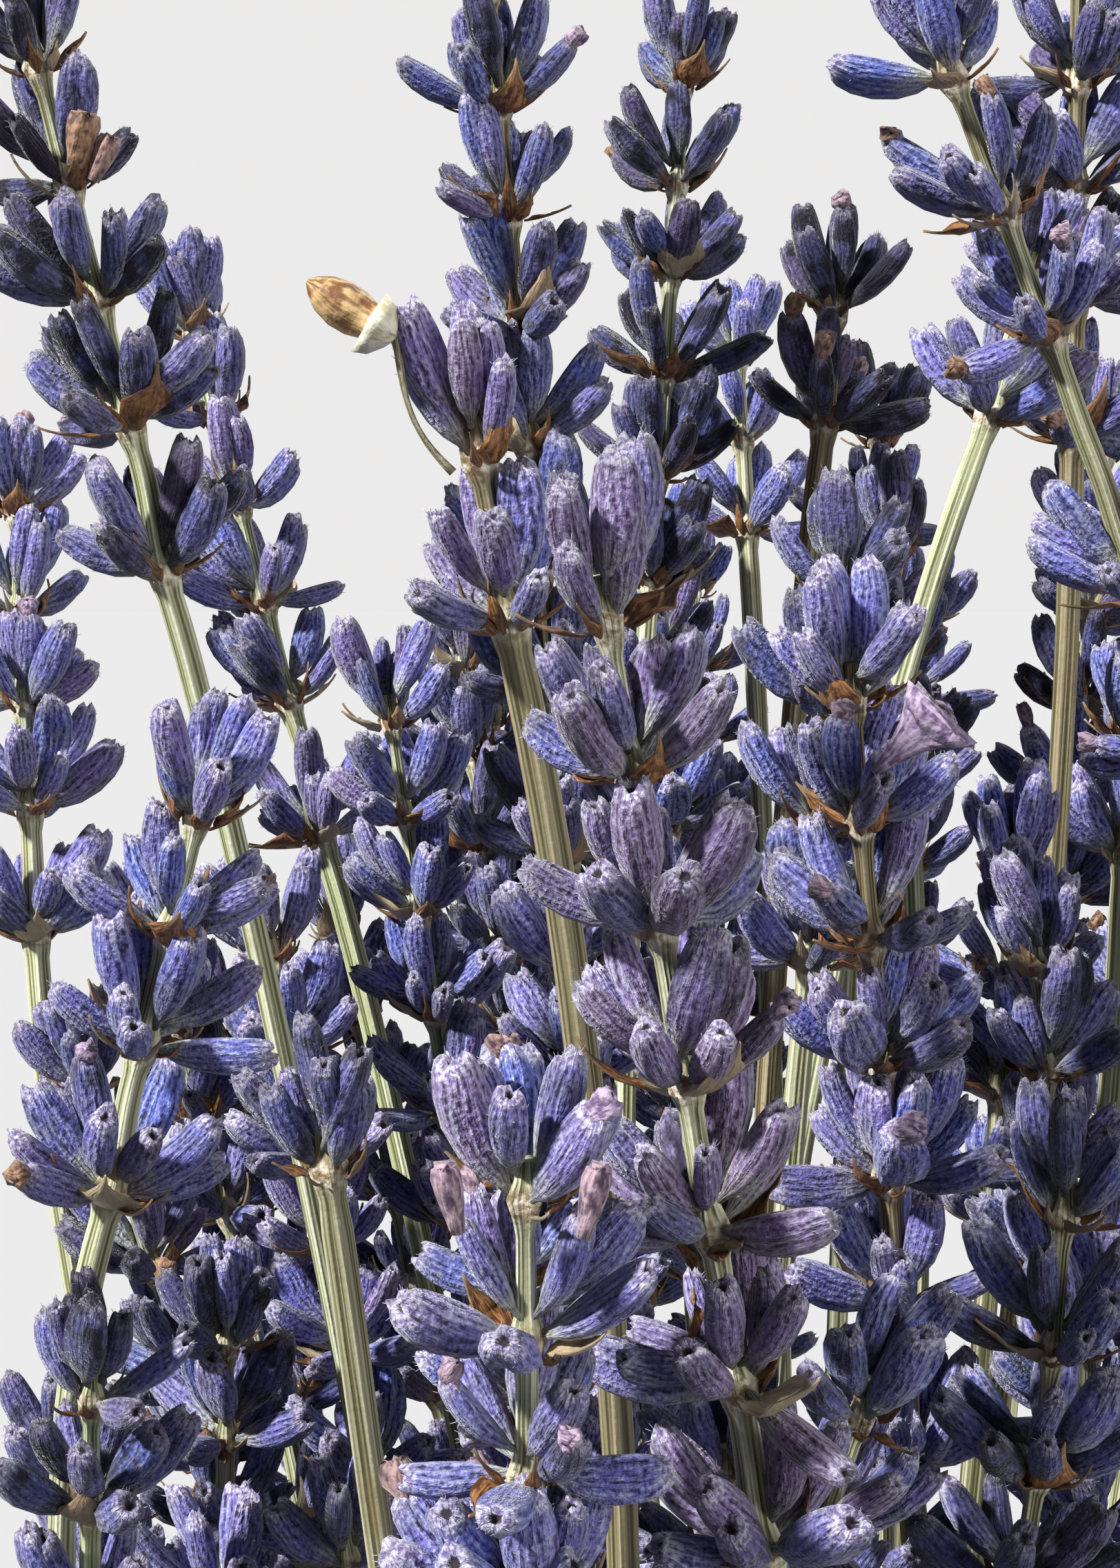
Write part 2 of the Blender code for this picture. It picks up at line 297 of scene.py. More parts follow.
def bud_finish():
    """Cream at the cup, and tan with brown patches above it."""
    f = Finish("spent_bud", Roughness=0.6)
    around, along = f.shape()
    chance, _, _ = f.nature()
    streaks = f.streaks(around, along, chance, 16.0, 3.0) * 0.6 + f.grain(1800.0) * 0.5
    tan = f.mix(f.ramp(streaks, 0.45, 0.65), (0.210, 0.090, 0.030), (0.720, 0.480, 0.220))
    cream = f.mix(f.ramp(streaks, 0.40, 0.60), (0.600, 0.520, 0.330), (0.900, 0.860, 0.680))
    f.colour(f.mix(f.ramp(along, 0.30, 0.33), cream, tan))
    f.bump(streaks, 0.00020)
    return f.material


def twine_finish():
    f = Finish("jute", Roughness=0.85, Sheen_Weight=0.2)
    around, along = f.shape()
    chance, _, _ = f.nature()
    fibres = f.streaks(around + along * 200.0, along, chance, 30.0, 400.0)
    body = f.mix(f.ramp(fibres, 0.25, 0.75), (0.190, 0.110, 0.045), (0.560, 0.410, 0.230))
    f.colour(f.mix(f.ramp(f.grain(500.0), 0.4, 0.7) * 0.4, body, (0.300, 0.190, 0.090)))
    f.bump(fibres, 0.00015)
    return f.material


# --- meshes ---------------------------------------------------------------------------------


def unit(vectors):
    return vectors / np.maximum(np.linalg.norm(vectors, axis=-1, keepdims=True), 1e-12)


def sweep(paths, side, radii, turn=0.0):
    """Tubes along paths. paths is (tubes, rings, 3), side a direction that the first point of each
    ring leans to, and radii (tubes, rings, points) or anything that spreads to it. A ring's point at
    the angle a is path + radius * (cos a * n + sin a * b), where n is side made square to the path
    and b is the path's direction crossed with n."""
    along = unit(np.gradient(paths, axis=1))
    n = unit(side - (side * along).sum(axis=-1, keepdims=True) * along)
    b = np.cross(along, n)
    count = radii.shape[-1]
    angle = np.arange(count) * (2 * math.pi / count)
    angle = angle[None, None] + np.zeros(paths.shape[:2])[..., None] + turn
    offset = np.cos(angle)[..., None] * n[:, :, None] + np.sin(angle)[..., None] * b[:, :, None]
    return paths[:, :, None] + radii[..., None] * offset


def surface(name, groups):
    """One mesh of many closed tubes. Each group is (rings, along, nature, finish): rings is (tubes,
    rings, points, 3), along the second UV coordinate of each ring, and nature (tubes, 3) or
    (tubes, rings, 3)."""
    places, faces, corners, natures, finishes, before = [], [], [], [], [], 0
    for number, (rings, along, nature, _) in enumerate(groups):
        tubes, length, count, _ = rings.shape
        ring, point = np.meshgrid(np.arange(length - 1), np.arange(count), indexing="ij")
        after = (point + 1) % count
        quads = [
            ring * count + point,
            ring * count + after,
            (ring + 1) * count + after,
            (ring + 1) * count + point,
        ]
        quads = np.stack(quads, axis=-1).reshape(-1, 4)
        caps = np.stack([np.arange(count)[::-1], (length - 1) * count + np.arange(count)])
        starts = before + np.arange(tubes)[:, None, None] * (length * count)
        faces += (quads + starts).reshape(-1, 4).tolist()
        faces += (caps + starts).reshape(-1, count).tolist()
        u = np.stack([point, point + 1, point + 1, point], axis=-1) / count
        v = np.asarray(along)[np.stack([ring, ring, ring + 1, ring + 1], axis=-1)]
        sides = np.tile(np.stack([u, v], axis=-1).reshape(-1, 2), (tubes, 1))
        ends = np.repeat([[0.5, along[0]], [0.5, along[-1]]], count, axis=0)
        corners += [sides, np.tile(ends, (tubes, 1))]
        spread = nature[:, None, None] if nature.ndim == 2 else nature[:, :, None]
        natures.append(np.broadcast_to(spread, rings.shape).reshape(-1, 3))
        finishes += [number] * (len(quads) + 2) * tubes
        places.append(rings.reshape(-1, 3))
        before += tubes * length * count
    mesh = bpy.data.meshes.new(name)
    mesh.from_pydata(np.concatenate(places), [], faces)
    mesh.uv_layers.new(name="shape").data.foreach_set("uv", np.concatenate(corners).ravel())
    data = mesh.attributes.new("nature", "FLOAT_VECTOR", "POINT").data
    data.foreach_set("vector", np.concatenate(natures).astype(np.float32).ravel())
    mesh.polygons.foreach_set("use_smooth", np.ones(len(faces), bool))
    for _, _, _, finish in groups:
        mesh.materials.append(finish)
    mesh.polygons.foreach_set("material_index", finishes)
    piece = bpy.data.objects.new(name, mesh)
    bpy.context.scene.collection.objects.link(piece)
    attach(piece, "root")
    return piece


def joined(parts):
    return [np.concatenate(column) for column in zip(*parts)]


# --- reading a sprig's CAD solid ------------------------------------------------------------


def read_line(node):
    """The heights, centres and radii of level slices through a CAD solid: where each of its edges
    crosses a level, halfway between the outermost crossings, and their mean distance from there."""
    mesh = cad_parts[node].data
    places = np.empty(len(mesh.vertices) * 3, np.float32)
    mesh.vertices.foreach_get("co", places)
    places = places.reshape(-1, 3).astype(float)
    ends = np.empty(len(mesh.edges) * 2, np.int32)
    mesh.edges.foreach_get("vertices", ends)
    a, b = places[ends.reshape(-1, 2)].transpose(1, 0, 2)
    swap = (a[:, 2] > b[:, 2])[:, None]
    a, b = np.where(swap, b, a), np.where(swap, a, b)
    heights = np.arange(SLICE, places[:, 2].max() - 0.2 * MM, SLICE)
    h = heights[:, None]
    rise = np.maximum(b[:, 2] - a[:, 2], 1e-9)
    share = (h - a[:, 2]) / rise
    crossed = (a[:, 2] <= h) & (h < b[:, 2])
    found = a[None, :, :2] + share[..., None] * (b - a)[None, :, :2]
    found = np.where(crossed[..., None], found, np.nan)
    centres = (np.nanmin(found, axis=1) + np.nanmax(found, axis=1)) / 2
    radii = np.nanmean(np.linalg.norm(found - centres[:, None], axis=2), axis=1)
    for _ in range(SMOOTHING):
        centres[1:-1] = (centres[:-2] + 2 * centres[1:-1] + centres[2:]) / 4
    return heights, centres, radii


def read_whorls(heights, radii):
    """(height of the node, size) of each whorl from the tip down: the lower end of each stretch
    that is wider than BULGE, and its greatest radius as a share of WIDEST."""
    wide = np.concatenate([[False], radii > BULGE, [False]])
    change = np.flatnonzero(wide[1:] != wide[:-1])
    whorls = []
    for first, end in zip(change[::2], change[1::2]):
        whorls.append((heights[first] - NODE_BELOW, radii[first:end].max() / WIDEST))
    return whorls[::-1]


class Sprig:
    """A sprig's centre line, its whorls, and its own random draws."""

    def __init__(self, node):
        self.node = node
        self.number = int(node[-2:])
        self.heights, self.centres, radii = read_line(node)
        self.whorls = read_whorls(self.heights, radii)
        self.rng = np.random.default_rng(self.number)
        chances = self.rng.random(3)
        usual = (0.75 * chances[0] ** 1.3, 0.25 * chances[1] ** 2, COROLLA_SHARE)
        self.dark, self.warm, self.corollas = STYLES.get(node, usual)
        self.turn = 2 * math.pi * chances[2]

    def at(self, heights):
        heights = np.asarray(heights, float)
        x = np.interp(heights, self.heights, self.centres[:, 0])
        y = np.interp(heights, self.heights, self.centres[:, 1])
        return np.stack([x, y, heights], axis=-1)

    def direction(self, height):
        return unit(self.at(height + 2 * MM) - self.at(height - 2 * MM))


# --- a sprig's pieces -----------------------------------------------------------------------

STEM_RADIUS = 0.80 * MM
TIP_RADIUS = 0.35 * MM
STEM_RING = 2.5 * MM
SPIKE_RING = 0.8 * MM


def make_stem(sprig, finish):
    """A square tube up the sprig's line. Its radius is r * (1 + 0.10 cos 4a + 0.03 cos 12a), with
    the square turning slowly round the line, and it swells by a bell curve at each node."""
    nodes = np.array([height for height, _ in sprig.whorls])
    foot, top = nodes.min() - 3 * MM, nodes.max() + 2.5 * MM
    heights = np.concatenate([np.arange(0, foot, STEM_RING), np.arange(foot, top, SPIKE_RING)])
    along = heights / top
    path = sprig.at(np.maximum(heights, 3 * MM))
    path[:, 2] = heights
    slim = np.clip((heights - foot) / (top - foot), 0, 1)
    radius = STEM_RADIUS * (1 - 0.15 * along) * (1 - slim) + TIP_RADIUS * slim
    scars = sprig.rng.uniform(0.1, 0.55, 3) * foot
    near = np.exp(-(((heights[:, None] - nodes) / (0.7 * MM)) ** 2)).max(axis=1)
    scar = np.exp(-(((heights[:, None] - scars) / (1.1 * MM)) ** 2)).max(axis=1)
    radius = radius * (1 + 0.75 * near * (0.5 + slim) + 0.22 * scar)
    angle = np.arange(16) * (math.pi / 8)
    square = 1 + 0.10 * np.cos(4 * angle) + 0.03 * np.cos(12 * angle)
    turn = sprig.turn + heights * sprig.rng.uniform(-12, 12)
    radii = (radius[:, None] * square)[None]
    rings = sweep(path[None], np.array([1.0, 0, 0]), radii, turn[None, :, None])
    brown = BROWN_STEMS.get(sprig.node, sprig.rng.random() ** 4)
    brown = np.full_like(heights, brown)
    chance = np.full_like(heights, sprig.rng.random())
    nature = np.stack([chance, np.maximum(near, 0.6 * scar), brown], axis=-1)[None]
    return surface(sprig.node + "_stem", [(rings, along, nature, finish)])


def whorl_frame(sprig, height):
    """The node's place, the stem's direction there, and two directions across it."""
    up = sprig.direction(height)
    east = unit(np.array([1.0, 0, 0]) - up[0] * up)
    return sprig.at(height), up, east, np.cross(up, east)


def lay_calyces(sprig):
    """Every calyx of a spike, whorl by whorl: two facing tufts at each node, each tuft a fan with an
    outer and an upright inner tier, turned a quarter from whorl to whorl. Returns for each calyx
    its foot, outward and up directions, lean from up at foot and mouth, length, and radius."""
    rng = sprig.rng
    parts = []
    for k, (height, size) in enumerate(sprig.whorls):
        place, up, east, north = whorl_frame(sprig, height)
        tuft = 4 + (size > 0.75) + (size > 0.9 and rng.random() < 0.5)
        count = 2 * tuft
        fan = np.tile(np.linspace(-1, 1, tuft), 2)
        side = np.repeat([0, math.pi], tuft)
        angle = sprig.turn + k * math.pi / 2 + side + fan * 1.25 + rng.normal(0, 0.2, count)
        tier = np.tile(np.arange(tuft) % 2, 2)
        out = np.cos(angle)[:, None] * east + np.sin(angle)[:, None] * north
        beside = -np.sin(angle)[:, None] * east + np.cos(angle)[:, None] * north
        lean = np.radians(np.where(tier == 0, 50, 24)) * (0.5 if k == 0 else 1)
        lean = lean + rng.normal(0, 0.23, count) + 0.5 * (rng.random(count) < 0.08)
        length = rng.uniform(4.8, 6.9, count) * MM * (0.72 + 0.28 * size)
        foot = place + out * (0.45 * MM) + up * (0.2 + 1.1 * tier[:, None]) * MM
        width = length * rng.uniform(0.130, 0.182, count)
        ups = unit(up + beside * rng.normal(0, 0.24, (count, 1)))
        parts.append((foot, out, ups, lean + 0.32, np.maximum(lean - 0.25, 0.03), length, width))
    return joined(parts)


CALYX_ALONG = np.array([0.0, 0.10, 0.22, 0.38, 0.58, 0.76, 0.90, 0.97, 1.0, 0.93])
CALYX_RADIUS = np.array([0.22, 0.28, 0.62, 0.88, 1.00, 0.96, 0.82, 0.66, 0.44, 0.16])
MOUTH_V = 1.15  # the UV height of the ring inside the mouth, which the calyx finish paints near black as painted shade
CALYX_POINTS = 12
BEND_STEPS = 24
HAIRS = 14  # on each calyx
HAIR_LENGTH = 0.26 * MM
HAIR_RADIUS = 0.022 * MM
HAIR_SUNK = 0.05 * MM  # below the surface that it stands on


def bent_paths(foot, out, up, low, high, length, share):
    """Paths that leave a foot at the angle low from up and end at the angle high: the sum of short
    steps along sin(angle) * out + cos(angle) * up, as the angle runs evenly from low to high."""
    steps = np.linspace(0, 1, BEND_STEPS + 1)
    angle = low[:, None] + (high - low)[:, None] * steps
    heading = np.sin(angle)[..., None] * out[:, None] + np.cos(angle)[..., None] * up[:, None]
    walked = np.cumsum((heading[:, 1:] + heading[:, :-1]) / 2, axis=1) / BEND_STEPS
    walked = np.concatenate([np.zeros_like(walked[:, :1]), walked], axis=1)
    place = np.asarray(share) * BEND_STEPS
    below = np.minimum(place.astype(int), BEND_STEPS - 1)
    part = (place - below)[None, :, None]
    walked = walked[:, below] * (1 - part) + walked[:, below + 1] * part
    return foot[:, None] + walked * length[:, None, None]


def make_calyces(sprig, calyces, finish, down):
    """Ribbed tubes: a thin stalk that opens into a barrel, closes a little at the mouth, ends in
    small teeth and turns in. The radius is the profile * (1 + 0.06 cos 6a + lumps), where the
    lumps are w * (0.12 cos 2a + 0.07 cos 3a) and w is greater on the shrivelled few. The mouth's
    rings move along by 0.022 cos 5a + 0.03 cos 2a of the length."""
    foot, out, up, low, high, length, width = calyces
    rng = sprig.rng
    count = len(foot)
    paths = bent_paths(foot, out, up, low, high, length, CALYX_ALONG)
    along = unit(np.gradient(paths, axis=1))
    along[:, -3:] = along[:, -4:-3]
    n = unit(up[:, None] - (up[:, None] * along).sum(axis=-1, keepdims=True) * along)
    b = np.cross(along, n)
    angle = np.arange(CALYX_POINTS) * (2 * math.pi / CALYX_POINTS)
    phase = rng.uniform(0, 2 * math.pi, (3, count, 1, 1))
    lumps = 0.12 * np.cos(2 * angle + phase[0]) + 0.07 * np.cos(3 * angle + phase[1])
    lumps = lumps * (0.6 + 1.7 * rng.random((count, 1, 1)) ** 2)
    ribs = 1 + 0.06 * np.cos(6 * angle) + lumps
    radii = width[:, None, None] * CALYX_RADIUS[None, :, None] * ribs
    teeth = 0.022 * np.cos(5 * angle + phase[2]) + 0.03 * np.cos(2 * angle + phase[1])
    reach = np.zeros(len(CALYX_ALONG))
    reach[-4:-1] = (0.5, 1, 1)
    rings = (
        paths[:, :, None]
        + radii[..., None] * np.cos(angle)[:, None] * n[:, :, None]
        + radii[..., None] * np.sin(angle)[:, None] * b[:, :, None]
        + (teeth * reach[:, None] * length[:, None, None])[..., None] * along[:, :, None]
    )
    dark = np.clip(sprig.dark + rng.normal(0, 0.26, count), 0, 1)
    warm = np.clip(sprig.warm + rng.normal(0, 0.26, count), 0, 1)
    nature = np.stack([rng.random(count), dark, warm], axis=1)
    v = CALYX_ALONG.copy()
    v[-1] = MOUTH_V
    hairs = make_hairs(rng, rings, along, dark)
    groups = [(rings, v, nature, finish), (*hairs, down)]
    surface(sprig.node + "_calyces", groups)


def make_hairs(rng, rings, along, dark):
    """Short spines that stand on the upper half of each calyx, most of them round its mouth: each
    leaves the surface halfway between straight out and the calyx's own direction."""
    count, levels, points, _ = rings.shape
    which = np.repeat(np.arange(count), HAIRS)
    share = rng.random(len(which)) ** 0.4
    level = np.minimum((3 + share * (levels - 5)).astype(int), levels - 3)
    point = rng.integers(0, points, len(which))
    part = rng.random((len(which), 1))
    after = (point + 1) % points
    below = rings[which, level, point] * part + rings[which, level, after] * (1 - part)
    climb = rng.random((len(which), 1))
    above = rings[which, level + 1, point] * part + rings[which, level + 1, after] * (1 - part)
    root = below * (1 - climb) + above * climb
    middle = rings[which, level].mean(axis=1)
    stray = rng.normal(0, 0.3, root.shape)
    heading = unit(unit(root - middle) + 0.8 * along[which, level] + stray)
    tip = root + heading * (HAIR_LENGTH * rng.uniform(0.5, 1.3, (len(which), 1)))
    paths = np.stack([root - HAIR_SUNK * heading, tip], axis=1)
    radii = np.array([HAIR_RADIUS, HAIR_RADIUS * 0.25])[None, :, None] * np.ones(3)
    nature = np.stack([rng.random(len(which)), dark[which], 0 * share], axis=1)
    return sweep(paths, np.array([0.31, 0.22, 0.92]), radii), np.array([0.0, 1.0]), nature


BRACT_SHARE = np.array([0.0, 0.08, 0.20, 0.33, 0.45, 0.58, 0.72, 0.86, 1.0])
BRACT_WIDTH = np.array([0.25, 0.55, 0.90, 1.00, 0.86, 0.55, 0.26, 0.11, 0.03])
BRACT_THICKNESS = 0.07 * MM
BRACTS = (  # (round the stem from the tuft's middle, length and half width in mm, how many remain)
    (0.0, 4.9, 1.75, 0.80),
    (0.75, 4.2, 0.50, 0.75),
    (-0.75, 4.2, 0.50, 0.75),
    (1.55, 3.2, 0.80, 0.65),
)


def lay_bracts(sprig):
    """A broad bract under each tuft and narrow ones beside it; some have dropped."""
    rng = sprig.rng
    parts = []
    for k, (height, size) in enumerate(sprig.whorls):
        place, up, east, north = whorl_frame(sprig, height)
        for side in (0, math.pi):
            for offset, long, half, kept in BRACTS:
                draws = rng.random(5)
                if draws[0] > kept:
                    continue
                angle = sprig.turn + k * math.pi / 2 + side + offset + 0.6 * (draws[1] - 0.5)
                out = math.cos(angle) * east + math.sin(angle) * north
                lean = 1.15 + 0.8 * (draws[2] - 0.5)
                reach = (0.7 + 0.5 * draws[3]) * size * MM
                foot = place + out * 0.9 * MM - up * 0.3 * MM
                bent = lean - 0.3 - 0.9 * draws[4]
                parts.append((foot, out, up, lean, bent, long * reach, half * reach))
    return [np.array(column) for column in zip(*parts)]


def make_bracts(sprig, finish):
    """Thin rhombic blades with a fine point, hollow towards the stem and wavy at the edge: across
    a blade at s from -1 to 1 the surface rises by 0.35 s^2 plus waves that run along it."""
    foot, out, up, low, high, length, half = lay_bracts(sprig)
    paths = bent_paths(foot, out, up, low, high, length, BRACT_SHARE)
    along = unit(np.gradient(paths, axis=1))
    n = unit(up[:, None] - (up[:, None] * along).sum(axis=-1, keepdims=True) * along)
    b = np.cross(along, n)
    angle = np.arange(10) * (math.pi / 5)
    across, thick = np.sin(angle), np.cos(angle)
    width = half[:, None, None] * BRACT_WIDTH[None, :, None]
    phase = sprig.rng.uniform(0, 6.28, (len(foot), 2, 1, 1))
    share = BRACT_SHARE[None, :, None]
    wave = 0.20 * np.sin(9 * share + phase[:, 0]) * across
    wave = wave + 0.14 * np.sin(15 * share + phase[:, 1]) * np.abs(across)
    lift = width * (0.35 * across**2 + wave) + BRACT_THICKNESS * thick
    rings = (
        paths[:, :, None]
        + (width * across)[..., None] * b[:, :, None]
        + lift[..., None] * n[:, :, None]
    )
    draws = sprig.rng.random((2, len(foot)))
    nature = np.stack([draws[0], draws[1] * (0.4 + sprig.dark), 0 * half], axis=1)
    groups = [(rings, BRACT_SHARE, nature, finish)]
    surface(sprig.node + "_bracts", groups)


COROLLA_ALONG = np.array([0.0, 0.2, 0.4, 0.6, 0.8, 0.95, 1.0, 0.8])
COROLLA_FLARE = np.array([0.36, 0.44, 0.56, 0.66, 0.70, 0.58, 0.38, 0.14])


def lay_corollas(sprig, calyces):
    """Crumpled knobs that stand out of some mouths: the radius swings in and out with cos 3a and
    cos 5a, each at its own phase on every ring, and so do the rings' places along."""
    rng = sprig.rng
    chosen = rng.random(len(calyces[0])) < sprig.corollas
    foot, out, up, low, high, length, width = (part[chosen] for part in calyces)
    ends = bent_paths(foot, out, up, low, high, length, np.array([0.9, 1.0]))
    heading = unit(ends[:, 1] - ends[:, 0])
    count = len(foot)
    reach = rng.uniform(0.8, 1.6, count) * MM
    share = COROLLA_ALONG[None, :, None]
    sag = rng.normal(0, 0.30, (count, 1, 3))
    paths = ends[:, :1] + reach[:, None, None] * (share * heading[:, None] + share**2 * sag)
    angle = np.arange(12) * (math.pi / 6)
    phase = rng.uniform(0, 6.28, (count, 2, 1, 1)) + rng.normal(0, 0.8, (count, 2, 8, 1))
    crumple = 0.16 * np.cos(3 * angle + phase[:, 0]) + 0.15 * np.cos(5 * angle + phase[:, 1])
    radii = width[:, None, None] * COROLLA_FLARE[None, :, None] * (1 + crumple)
    rings = sweep(paths, np.array([0.3, 0.2, 1.0]), radii)
    rings += (crumple * share * 0.30 * reach[:, None, None])[..., None] * heading[:, None, None]
    brown = np.clip(rng.normal(0.45 + 0.4 * sprig.dark, 0.3, count), 0, 1)
    return rings, np.stack([rng.random(count), 0 * brown, brown], axis=1)


# The spent flower that stands off on its own stalk
BUD_SPRIG = "sprig_10"
BUD_FOOT = (-1.0 * MM, -2.4 * MM, -0.8 * MM)  # from the node of the sprig's first whorl
BUD_OFFSET = (-2.3 * MM, -0.2 * MM, 5.5 * MM)
BUD_LENGTH = 4.3 * MM
BUD_GIRTH = 1.25 * MM

# Single dried flowers: the sprig, the place of the flower's foot from the sprig's tip and of its
# head from its foot, in mm, its radius in mm, how brown it is, and how far its lip flares
FLOWERS = (
    ("sprig_01", (3.4, -2.4, -11.5), (0.7, -0.4, 2.6), 1.2, 1.0, 0.0),
    ("sprig_01", (4.3, -2.2, -12.2), (1.0, -0.2, 2.2), 0.9, 0.8, 0.0),
    ("sprig_20", (1.2, -2.4, -9.0), (3.0, -0.8, 2.9), 1.9, 0.0, 1.0),
    ("sprig_12", (-2.4, -3.2, -6.0), (-0.5, -0.6, 2.6), 0.8, 0.45, 0.0),
    ("sprig_12", (2.2, -3.2, -6.2), (0.6, -0.4, 2.7), 0.8, 0.45, 0.0),
)
BUD_ALONG = np.array([0.0, 0.05, 0.16, 0.30, 0.31, 0.44, 0.62, 0.80, 0.93, 1.0])
BUD_RADIUS = np.array([0.10, 0.42, 0.85, 1.00, 0.66, 0.80, 0.82, 0.66, 0.36, 0.08])
FLOWER_FLARE = np.array([0.12, 0.22, 0.34, 0.50, 0.78, 1.00, 1.02, 0.85])


def make_flowers(finish):
    """Crumpled trumpets: each ring's radius swings by cos 3a, cos 5a and cos 8a, more at the lip."""
    rings, natures = [], []
    for node, foot, head, radius, brown, flare in FLOWERS:
        sprig = Sprig(node)
        rng = sprig.rng
        start = sprig.at(sprig.heights[-1]) + np.array(foot) * MM
        path = start + COROLLA_ALONG[:, None] * np.array(head) * MM
        angle = np.arange(20) * (math.pi / 10)
        phase = rng.uniform(0, 6.28, (3, 1, 1)) + rng.normal(0, 0.35, (3, len(path), 1))
        crumple = 0.10 * np.cos(3 * angle + phase[0]) + 0.12 * np.cos(5 * angle + phase[1])
        crumple = (crumple + 0.08 * np.cos(8 * angle + phase[2])) * COROLLA_ALONG[:, None]
        shape = COROLLA_FLARE * (1 - flare) + FLOWER_FLARE * flare
        radii = radius * MM * shape[:, None] * (1 + crumple)
        ring = sweep(path[None], np.array([0.2, -1.0, 0.1]), radii[None])[0]
        flat = 1 - 0.55 * flare
        ring[:, :, 1] = path[:, None, 1] + (ring[:, :, 1] - path[:, None, 1]) * flat
        ring += (0.30 * crumple * np.linalg.norm(head) * MM)[..., None] * unit(np.array(head))
        rings.append(ring)
        natures.append((rng.random(), 0, brown))
    groups = [(np.array(rings), COROLLA_ALONG, np.array(natures), finish)]
    surface("dried_flowers", groups)


def make_loose_bud(finishes):
    """A spent flower on a long thread of a stalk: a cream cup that holds a tan bud."""
    sprig = Sprig(BUD_SPRIG)
    foot = sprig.at(sprig.whorls[0][0]) + np.array(BUD_FOOT)
    head = foot + np.array(BUD_OFFSET)
    share = np.linspace(0, 1, 14)[:, None]
    sag = np.array([-0.5, 0, -0.5]) * MM * np.sin(math.pi * share)
    stalk = foot + share * (head - foot) + sag
    radii = (0.20 - 0.08 * np.sin(math.pi * share[:, 0]))[:, None] * MM * np.ones(8)
    rings = sweep(stalk[None], np.array([0.1, -1.0, 0.2]), radii[None])
    nature = np.array([[0.7, 0.35, 0.55]])
    heading = unit(np.array([-0.80, -0.1, 0.50]))
    path = head + BUD_ALONG[:, None] * heading * BUD_LENGTH
    angle = np.arange(16) * (math.pi / 8)
    wide = np.where(BUD_ALONG < 0.305, 1.1, 0.95)[:, None]
    folds = 1 + 0.10 * np.cos(3 * angle) * np.minimum(1, BUD_ALONG[:, None] * 4)
    bud = BUD_GIRTH * wide * BUD_RADIUS[:, None] * folds
    ring = sweep(path[None], np.array([0.1, -1.0, 0.2]), bud[None])
    groups = [(rings, share[:, 0], nature, finishes["stem"])]
    groups.append((ring, BUD_ALONG, np.array([[0.5, 0, 0]]), finishes["bud"]))
    surface("loose_bud", groups)


def make_sprig(node, finishes):
    """The sprig's pieces, but for its withered corollas, which it returns."""
    sprig = Sprig(node)
    stem = make_stem(sprig, finishes["stem"])
    calyces = lay_calyces(sprig)
    make_calyces(sprig, calyces, finishes["calyx"], finishes["down"])
    make_bracts(sprig, finishes["bract"])
    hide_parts(node)
    return lay_corollas(sprig, calyces)


# --- the tie --------------------------------------------------------------------------------

TWINE_RADIUS = 1.0 * MM
WOUND_TURNS = 3.9
LAY = 7.0 * MM  # the length of twine in which its three strands go round once
KNOT_STEP = 0.35 * MM
CORNER_ROUNDS = 14
FRAYS = 36  # fibres at each cut end
FUZZ = 260  # fibres round the coil


def twine(name, path, side, finish):
    """Three-stranded twine: the radius is 0.86 + 0.14 cos 3(a - t), where t turns once a LAY."""
    walked = np.concatenate([[0], np.cumsum(np.linalg.norm(np.diff(path, axis=0), axis=1))])
    angle = np.arange(18) * (math.pi / 9)
    turn = walked[:, None] * (2 * math.pi / LAY)
    radii = TWINE_RADIUS * (0.86 + 0.14 * np.cos(3 * (angle - turn)))
    rings = sweep(path[None], side, radii[None])
    nature = np.zeros((1, 3))
    return surface(name, [(rings, walked / walked[-1], nature, finish)])


def axis_place():
    """The middle of the binding."""
    low, high = (np.array(corner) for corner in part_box("twine_binding"))
    return (low + high) / 2


def make_binding(finish):
    """A coil of nearly four turns at one radius from the stems. Near both ends the radius is less
    by 1.6 twine radii times a bell curve, so that they dive under it."""
    low, high = (np.array(corner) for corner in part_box("twine_binding"))
    radius = (high[0] - low[0]) / 2 - TWINE_RADIUS
    share = np.linspace(0, 1, 520)
    angle = 2 * math.pi * WOUND_TURNS * share - 0.8 * math.pi
    tuck = np.exp(-((np.minimum(share, 1 - share) / 0.012) ** 2))
    out = np.stack([np.cos(angle), np.sin(angle), 0 * angle], axis=1)
    path = axis_place() + out * (radius - 1.6 * TWINE_RADIUS * tuck)[:, None]
    path[:, 2] = low[2] + TWINE_RADIUS + share * (high[2] - low[2] - 2 * TWINE_RADIUS)
    piece = twine("twine_wound", path, out[None], finish)
    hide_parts("twine_binding")


def smoothed(points, step):
    """A path through the points at even steps. Its corners are rounded: each place becomes a
    quarter of its neighbours' sum and half of itself, CORNER_ROUNDS times."""
    walked = np.concatenate([[0], np.cumsum(np.linalg.norm(np.diff(points, axis=0), axis=1))])
    at = np.arange(0, walked[-1], step)
    path = np.stack([np.interp(at, walked, points[:, k]) for k in range(3)], axis=1)
    for _ in range(CORNER_ROUNDS):
        path[1:-1] = (path[:-2] + 2 * path[1:-1] + path[2:]) / 4
    return path


